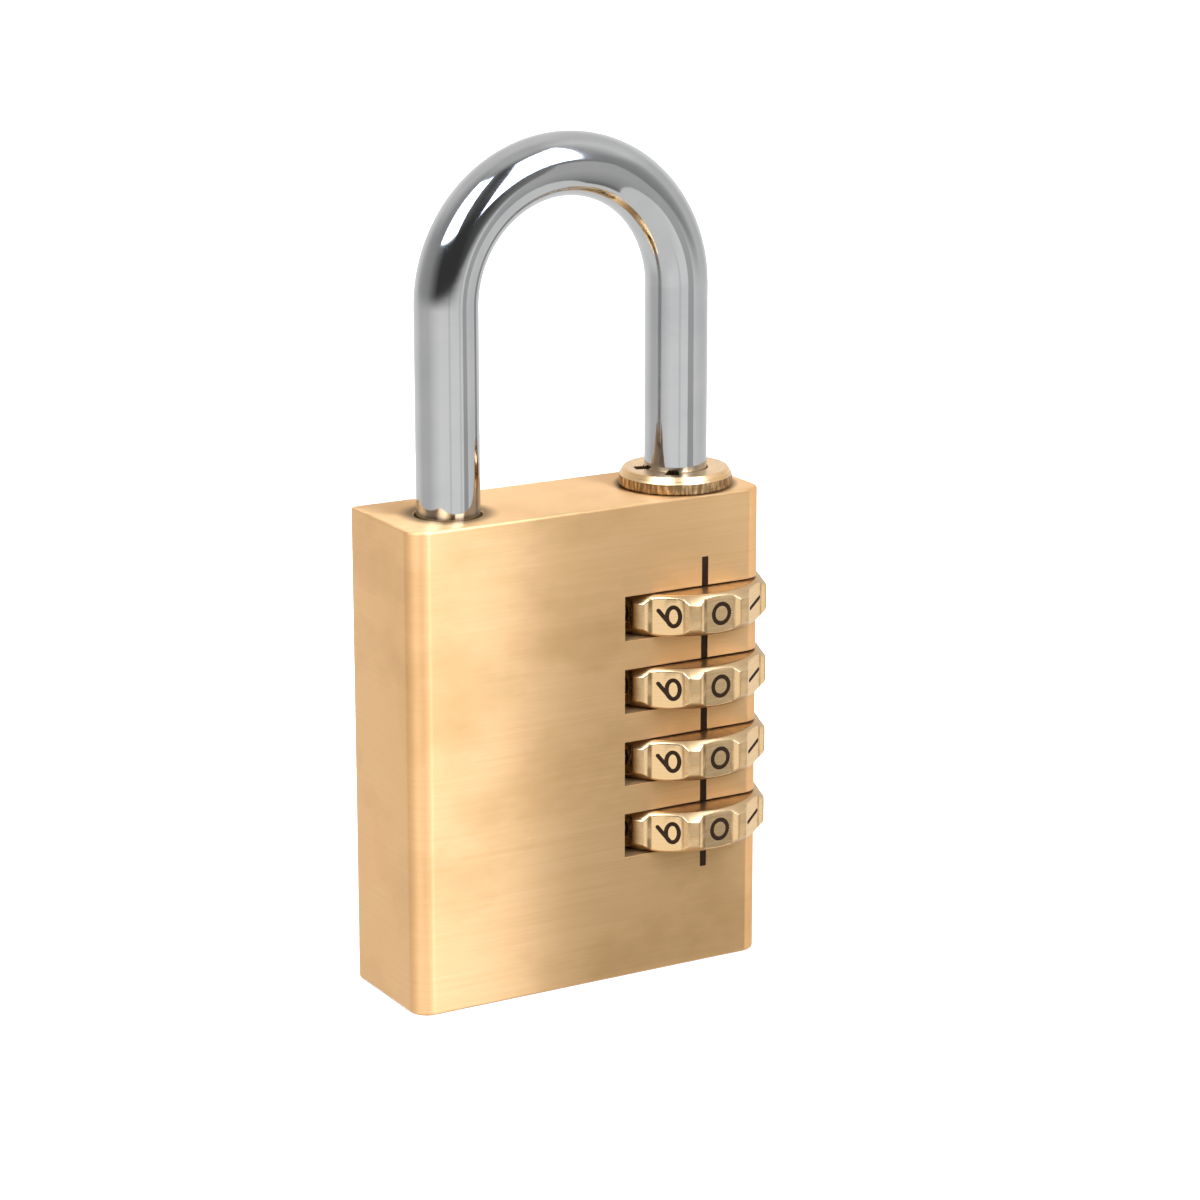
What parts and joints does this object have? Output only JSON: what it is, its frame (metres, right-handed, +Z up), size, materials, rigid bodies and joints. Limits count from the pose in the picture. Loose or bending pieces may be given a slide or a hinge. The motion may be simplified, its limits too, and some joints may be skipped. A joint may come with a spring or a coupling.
{
  "type": "combination padlock",
  "caption": "Solid brass combination padlock with a steel bow shackle, edge-mounted number wheels around its heel leg, and a resettable clutch inside.",
  "frame": {"origin": "centre of the body's flat bottom face", "axes": "+Z up along the shackle legs, -Y out of the front face that carries the index line, +X towards the wheels and the heel leg"},
  "size_m": [0.0424, 0.0182, 0.0863],
  "materials": {
    "body_brass": "fine horizontal brushing, satin",
    "wheel_brass": "bright turned and milled brass",
    "collar_brass": "turned brass",
    "sleeve_brass": "turned, lightly oiled",
    "shackle_steel": "mirror polished",
    "spring_steel": "drawn wire",
    "black_enamel": "matt black fill"
  },
  "bodies": {
    "case": {"lock_body": "body_brass", "reset_collar": "collar_brass", "collar_pin": "collar_brass", "index_inlay": "black_enamel", "end_plug": "collar_brass", "plug_pin": "collar_brass", "stack_spring": "spring_steel", "click_spring_1": "spring_steel", "click_spring_2": "spring_steel", "click_spring_3": "spring_steel", "click_spring_4": "spring_steel"},
    "shackle": {"shackle": "shackle_steel"},
    "seat": {"spring_seat": "spring_steel"},
    "wheel_1": {"number_wheel_1": "wheel_brass"},
    "sleeve_1": {"clutch_sleeve_1": "sleeve_brass"},
    "wheel_2": {"number_wheel_2": "wheel_brass"},
    "sleeve_2": {"clutch_sleeve_2": "sleeve_brass"},
    "wheel_3": {"number_wheel_3": "wheel_brass"},
    "sleeve_3": {"clutch_sleeve_3": "sleeve_brass"},
    "wheel_4": {"number_wheel_4": "wheel_brass"},
    "sleeve_4": {"clutch_sleeve_4": "sleeve_brass"}
  },
  "joints": [
    {"name": "shackle_lift", "type": "slide", "parent": "case", "child": "shackle", "axis": [0, 0, 1], "range_m": [0, 0.0062]},
    {"name": "wheel_1_turn", "type": "hinge", "parent": "case", "child": "wheel_1", "pos_m": [0.013, -0.0008, 0.0379], "axis": [0, 0, 1], "continuous": true},
    {"name": "wheel_2_turn", "type": "hinge", "parent": "case", "child": "wheel_2", "pos_m": [0.013, -0.0008, 0.0303], "axis": [0, 0, 1], "continuous": true},
    {"name": "wheel_3_turn", "type": "hinge", "parent": "case", "child": "wheel_3", "pos_m": [0.013, -0.0008, 0.0227], "axis": [0, 0, 1], "continuous": true},
    {"name": "wheel_4_turn", "type": "hinge", "parent": "case", "child": "wheel_4", "pos_m": [0.013, -0.0008, 0.0151], "axis": [0, 0, 1], "continuous": true},
    {"name": "sleeve_1_shift", "type": "slide", "parent": "wheel_1", "child": "sleeve_1", "axis": [0, 0, -1], "range_m": [0, 0.0014], "stiffness_N_per_m": 600, "springref_m": -0.002},
    {"name": "sleeve_2_shift", "type": "slide", "parent": "wheel_2", "child": "sleeve_2", "axis": [0, 0, -1], "range_m": [0, 0.0014]},
    {"name": "sleeve_3_shift", "type": "slide", "parent": "wheel_3", "child": "sleeve_3", "axis": [0, 0, -1], "range_m": [0, 0.0014]},
    {"name": "sleeve_4_shift", "type": "slide", "parent": "wheel_4", "child": "sleeve_4", "axis": [0, 0, -1], "range_m": [0, 0.0014]},
    {"name": "seat_shift", "type": "slide", "parent": "case", "child": "seat", "axis": [0, 0, -1], "range_m": [0, 0.0014], "deforming": ["stack_spring"]}
  ],
  "couplings": [
    {"joint": "sleeve_2_shift", "follows": "sleeve_1_shift", "ratio": 1},
    {"joint": "sleeve_3_shift", "follows": "sleeve_1_shift", "ratio": 1},
    {"joint": "sleeve_4_shift", "follows": "sleeve_1_shift", "ratio": 1},
    {"joint": "seat_shift", "follows": "sleeve_1_shift", "ratio": 1}
  ]
}
